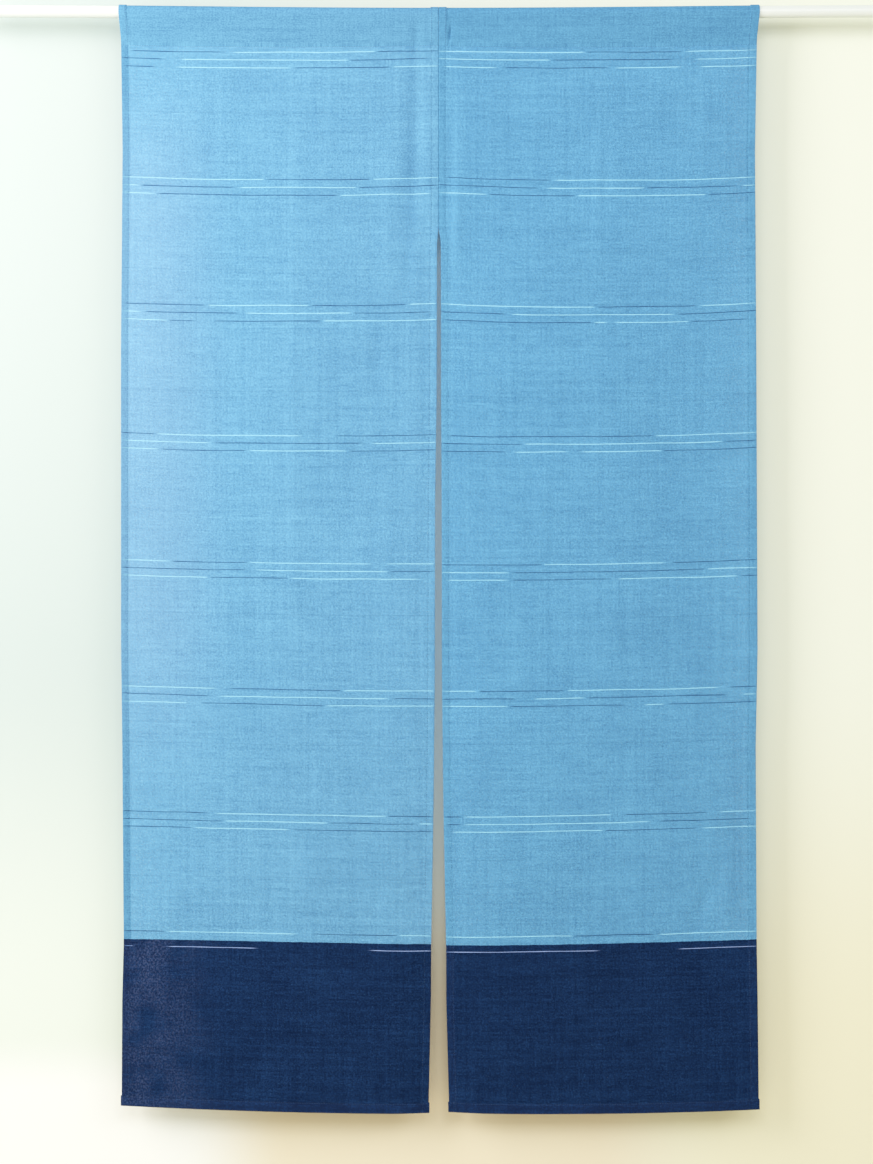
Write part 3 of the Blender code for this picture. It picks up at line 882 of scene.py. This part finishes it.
# painted light and shade along creases and folds
def paintedFoldLightAt(panel, distance, drop):
    paintedFoldLight = 0.0
    for middle, top, foot, halfWidth, amount in panel["paintedFoldLight"]:
        if top < drop < foot:
            along = math.sin(math.pi * (drop - top) / (foot - top))
            paintedFoldLight += amount * min(1.0, along * paintedFoldLightEnds) * math.exp(-(((distance - middle) / halfWidth) ** 2))
    return paintedFoldLight


def readStripes(line):
    # "p425-234 d232-90" gives (from, to, 1 for pale or -1 for dark) for each stretch, in metres from the seam
    found = []
    for word in line.split():
        ends = sorted(float(end) / 1000.0 for end in word[1:].split("-"))
        found.append((ends[0], ends[1], 1.0 if word[0] == "p" else -1.0))
    return found


def lineTone(stretches, distance):
    tone = 0.0
    for start, end, sign in stretches:
        half = min(wovenLines["fade"], (end - start) / 2.0) / 2
        begun = ease(distance, start - half, start + half)
        ended = ease(distance, end - half, end + half)
        tone += sign * begun * (1.0 - ended)
    return tone


def markStripes(panel, piece, grid):
    # every corner of a face gets its place in the group of lines that is nearest to the face
    groups = [(drop, [readStripes(line) for line in lines]) for drop, *lines in panel["stripes"]]
    slub = [(0.0, wovenLines["slubEnd"], -wovenLines["slub"])]
    groups += [(drop, [slub, [], []]) for drop in panel["slubs"]]
    lineAt = piece.data.attributes.new("lineAt", "FLOAT", "CORNER")
    tones = piece.data.attributes.new("lineTone", "FLOAT_VECTOR", "CORNER")
    known = {}
    for face in piece.data.polygons:
        middle = sum(grid[index][1] for index in face.vertices) / len(face.vertices)
        fromGroups = [abs(drop + wovenLines["apart"] - middle) for drop, _ in groups]
        number = fromGroups.index(min(fromGroups))
        drop, lines = groups[number]
        apart = wovenLines["apart" if drop < wovenLines["lowerFrom"] else "apartLower"]
        for corner, index in zip(face.loop_indices, face.vertices):
            distance, level = grid[index]
            lineAt.data[corner].value = (level - drop) / apart
            key = (number, index)
            if key not in known:
                known[key] = [lineTone(line, distance) for line in lines]
            tones.data[corner].vector = known[key]


def makePanel(panel):
    columns = panelColumns(panel)
    rows = panelRows()
    if panel["side"] < 0:
        columns = columns[::-1]
    deselectAll()
    bpy.ops.mesh.primitive_grid_add(
        x_subdivisions=len(columns) - 1, y_subdivisions=len(rows) - 1, size=1.0, location=(0, 0, 0),
    )
    piece = bpy.context.object
    piece.name = panel["name"]
    mesh = piece.data
    grid, layers, puckers, paintedFoldLight, thick = [], [], [], [], []
    for number, vertex in enumerate(mesh.vertices):
        row, column = divmod(number, len(columns))
        place, distance, drop = clothPoint(panel, columns[column], rows[row])
        vertex.co = place
        grid.append((distance, drop))
        layers.append(layersAt(panel, columns[column], rows[row]))
        puckers.append(max(nearStitches(panel, columns[column], rows[row], stitching["puckerWidth"])))
        paintedFoldLight.append(paintedFoldLightAt(panel, distance, drop))
        thick.append(thicknessAt(panel, columns[column], rows[row]))
    for name, values in (("layers", layers), ("pucker", puckers), ("paintedFoldLight", paintedFoldLight)):
        mesh.attributes.new(name, "FLOAT", "POINT").data.foreach_set("value", values)
    mesh.uv_layers[0].name = "cloth"
    for corner in mesh.loops:
        distance, drop = grid[corner.vertex_index]
        mesh.uv_layers["cloth"].data[corner.index].uv = (panel["side"] * distance, drop)
    markStripes(panel, piece, grid)
    group = piece.vertex_groups.new(name="thickness")
    for index, value in enumerate(thick):
        group.add([index], value / weave["hemLayers"], "REPLACE")
    solid = piece.modifiers.new("layers of cloth", "SOLIDIFY")
    solid.thickness = weave["hemLayers"]
    solid.offset = -1.0
    solid.use_even_offset = True
    solid.vertex_group = group.name
    solid.thickness_vertex_group = 0.0
    finishMesh(piece, weave["smoothAngle"])
    piece.data.materials.append(clothMaterial(panel["name"].replace("_", " "), panel["dye"]))
    return piece


def seamPaths(panel):
    # the places that each row of stitches runs through, and the way that it faces, or None round the rod
    paths = []
    hanging = [row for row in panelRows() if row[0] == "hanging"]
    behind = Vector((0.0, weave["hemLayers"], 0.0))
    for edge in ("inner", "outer"):
        column = (edge, panel[edge + "Stitch"])
        paths.append(([Vector(clothPoint(panel, column, row)[0]) for row in panelRows()], None))
        back = [Vector(clothPoint(panel, column, row)[0]) + behind for row in hanging]
        paths.append((back, Vector((0, 1, 0))))
    columns = panelColumns(panel)
    acrossFoot = ("hanging", weave["foot"] - weave["footStitch"])
    acrossPocket = ("hanging", weave["pocketStitch"])
    for row, depth, facing in (
        (acrossFoot, 0.0, -1), (acrossFoot, weave["hemLayers"], 1), (acrossPocket, 0.0, -1),
        (("strip", weave["pocketStitch"]), 0.0, 1),
    ):
        offset = Vector((0.0, depth, 0.0))
        line = [Vector(clothPoint(panel, column, row)[0]) + offset for column in columns]
        paths.append((line, Vector((0, facing, 0))))
    return paths


def makeStitches(panel, material):
    deselectAll()
    bpy.ops.mesh.primitive_uv_sphere_add(
        segments=stitching["sides"], ring_count=stitching["rings"], radius=0.5,
    )
    model = bpy.context.object
    model.scale = (stitching["thickness"], stitching["thickness"], stitching["length"])
    bpy.ops.object.transform_apply(location=True, rotation=True, scale=True)
    bpy.ops.object.shade_smooth()
    model.data.materials.append(material)
    copies = []
    for points, facing in seamPaths(panel):
        travelled, nextAt = 0.0, stitching["pitch"] / 2
        for start, end in zip(points, points[1:]):
            step = end - start
            along = step.normalized()
            outwards = facing or Vector((1, 0, 0)).cross(along).normalized()
            while nextAt <= travelled + step.length:
                place = start + along * (nextAt - travelled) - outwards * stitching["sunk"]
                swing = math.radians(stitching["swing"]) * math.sin(stitching["swingStep"] * len(copies))
                inLine = Matrix((outwards.cross(along), outwards, along)).transposed().to_4x4()
                copy = model.copy()
                copy.data = model.data.copy()
                copy.data.transform(Matrix.Translation(place) @ inLine @ Matrix.Rotation(swing, 4, "Y"))
                bpy.context.scene.collection.objects.link(copy)
                copies.append(copy)
                nextAt += stitching["pitch"]
            travelled += step.length
    deselectAll()
    for copy in copies:
        copy.select_set(True)
    bpy.context.view_layer.objects.active = copies[0]
    bpy.ops.object.join()
    piece = bpy.context.object
    piece.name = panel["name"].replace("cloth", "stitches")
    bpy.data.objects.remove(model)
    return piece


stage = {
    "wallGap": 0.038,
    "wallSize": (7.0, 4.2),
    "floor": -1.95,
    "floorSize": 14.0,
    # the wall's colours are painted light and shade: darker where the lamps light it most, warmer towards the
    # foot, paler and bluer behind the slit, a warm painted shadow under the hem and painted light under the
    # left corner; each starts where the first number says and is full at the second
    "toRight": (-0.45, 0.45),
    "toFoot": (-0.84, -1.40),
    "byMiddle": (0.20, 0.04),
    "underRod": (-0.06, -0.30),
    "byMiddleFoot": (0.36, 0.20),
    "toEnd": (-1.38, -1.47),
    "wallLeft": (0.48, 0.59, 0.56),
    "wallRight": (0.82, 0.87, 0.71),
    "wallMiddle": (0.82, 0.98, 0.97),
    "wallLeftFoot": (0.76, 0.86, 0.74),
    "wallRightFoot": (0.83, 0.80, 0.56),
    "wallPaintedShadowUnderHem": (0.81, 0.71, 0.51),
    "wallPaintedLightUnderLeftCorner": (0.97, 1.00, 0.95),
    "floorColour": (0.80, 0.69, 0.50),
    "floorMottle": (1.5, 1.5, 1.5),
    "floorShade": 0.98,
    "wallRoughness": 0.9,
    "wallShine": 0.1,
    "floorRoughness": 0.85,
}


def wallMaterial():
    finish = Finish("plain wall")
    across, _, up = finish.parts(finish.place())
    toRight = (across - seamX).rise(*stage["toRight"])
    fromMiddle = abs(across - seamX)
    # painted bluish light behind the slit, below the rod
    middle = fromMiddle.rise(*stage["byMiddle"]) * up.rise(*stage["underRod"])
    # painted shade that evens out the lamps: darkest at the top left, where they light the wall most
    upper = finish.colour(toRight, stage["wallLeft"], stage["wallRight"])
    upper = finish.colour(middle, upper, stage["wallMiddle"])
    lower = finish.colour(toRight, stage["wallLeftFoot"], stage["wallRightFoot"])
    # painted light under the left corner
    lower = finish.colour(up.rise(*stage["toEnd"]) * (1.0 - toRight), lower, stage["wallPaintedLightUnderLeftCorner"])
    # painted warm shadow under the hem
    lower = finish.colour(fromMiddle.rise(*stage["byMiddleFoot"]), lower, stage["wallPaintedShadowUnderHem"])
    front = finish.principled({
        "Base Color": finish.colour(up.rise(*stage["toFoot"]), upper, lower),
        "Roughness": stage["wallRoughness"],
        "Specular IOR Level": stage["wallShine"],
    })
    # the wall has a front only, so that the back of the cloth can be looked at
    fromBehind = finish.node("ShaderNodeNewGeometry", output="Backfacing")
    return finish.done(finish.mixed(fromBehind, front, finish.node("ShaderNodeBsdfTransparent")))


def floorMaterial():
    finish = Finish("plain floor")
    mottle = finish.grain(finish.place(), stage["floorMottle"], 3.0)
    colour = finish.colour(mottle, shaded(stage["floorColour"], stage["floorShade"]), stage["floorColour"])
    return finish.done(finish.principled({"Base Color": colour, "Roughness": stage["floorRoughness"]}))


def makeStage():
    deselectAll()
    bpy.ops.mesh.primitive_plane_add(size=stage["floorSize"], location=(seamX, 0.0, stage["floor"]))
    floor = bpy.context.object
    floor.name = "floor"
    floor.data.materials.append(floorMaterial())
    deselectAll()
    wide, high = stage["wallSize"]
    bpy.ops.mesh.primitive_plane_add(
        size=1.0, location=(seamX, stage["wallGap"], stage["floor"] + high / 2), rotation=(math.pi / 2, 0, 0),
    )
    wall = bpy.context.object
    wall.name = "wall"
    wall.scale = (wide, high, 1.0)
    bpy.ops.object.transform_apply(location=True, rotation=True, scale=True)
    wall.data.materials.append(wallMaterial())


camera = {
    "distance": 3.1,
    "sensor": 36.0,             # mm
    "pixels": (873, 1164),
    "metresPerPixel": 0.001345,
    "seamPixel": 438.5,         # the photograph's column that the seam stands on
    "topPixel": 6.5,            # its row at the top fold's height
}


def makeCamera():
    wide, high = camera["pixels"]
    scale = camera["metresPerPixel"]
    x = seamX + (wide / 2 - camera["seamPixel"]) * scale
    z = weave["foldHeight"] - (high / 2 - camera["topPixel"]) * scale
    eye = bpy.data.cameras.new("camera")
    eye.sensor_width = camera["sensor"]
    eye.lens = eye.sensor_width * camera["distance"] / (high * scale)
    holder = bpy.data.objects.new("camera", eye)
    bpy.context.scene.collection.objects.link(holder)
    holder.location = (x, -camera["distance"], z)
    holder.rotation_euler = (math.pi / 2, 0.0, 0.0)
    bpy.context.scene.camera = holder


# name, place, where it points, size across and up, power, colour
lamps = (
    ("near left", (-0.75, -0.95, 0.10), (0.35, 0.0, -0.50), (0.9, 1.4), 42.0, (1.0, 0.905, 0.85)),
    ("low left", (-0.75, -0.95, -0.60), (0.35, 0.0, -0.60), (0.9, 1.4), 9.2, (0.82, 1.0, 1.0)),
    ("front", (0.60, -3.20, 0.90), (0.62, 0.0, -0.75), (2.4, 1.4), 54.2, (0.99, 0.99, 1.0)),
    ("front right", (2.70, -2.20, 0.60), (0.80, 0.0, -0.70), (1.6, 1.6), 36.2, (0.99, 1.0, 1.0)),
)
skyLight = {"colour": (1.0, 1.0, 0.955), "strength": 0.47}


def makeLights():
    for name, place, target, size, power, colour in lamps:
        lamp = bpy.data.lights.new(name, "AREA")
        lamp.shape = "RECTANGLE"
        lamp.size, lamp.size_y = size
        lamp.energy = power
        lamp.color = colour
        holder = bpy.data.objects.new(name, lamp)
        bpy.context.scene.collection.objects.link(holder)
        holder.location = place
        holder.visible_camera = False
        holder.rotation_euler = (Vector(target) - Vector(place)).to_track_quat("-Z", "Y").to_euler()
    world = bpy.data.worlds.new("studio")
    world.use_nodes = True
    world.node_tree.nodes["Background"].inputs["Color"].default_value = (*skyLight["colour"], 1.0)
    world.node_tree.nodes["Background"].inputs["Strength"].default_value = skyLight["strength"]
    bpy.context.scene.world = world


film = {"white": 1.6, "points": (0.05, 0.12, 0.25, 0.45, 0.7, 1.0, 1.3)}


def makeFilm():
    # bright tones run together softly, as in a light, airy photograph
    view = bpy.context.scene.view_settings
    view.view_transform = "Standard"
    view.use_curve_mapping = True
    curves = view.curve_mapping
    curves.white_level = (film["white"],) * 3
    for light in film["points"]:
        shown = (1.0 - math.exp(-light)) / (1.0 - math.exp(-film["white"]))
        curves.curves[3].points.new(light / film["white"], shown)   # the curve for all colours
    curves.update()


def declare(piece, slot, *nodes):
    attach(piece, "root")
    if nodes:
        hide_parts(*nodes)


print("rod")
rodPiece = makeRod()
declare(rodPiece, "rod_paint", "rod")
thread = threadMaterial()
for panel in (leftPanel, rightPanel):
    print(panel["name"])
    cloth = makePanel(panel)
    declare(cloth, "cloth", panel["node"])
    stitches = makeStitches(panel, thread)
    declare(stitches, "cloth")
print("stage, camera and lights")
makeStage()
makeCamera()
makeLights()
makeFilm()
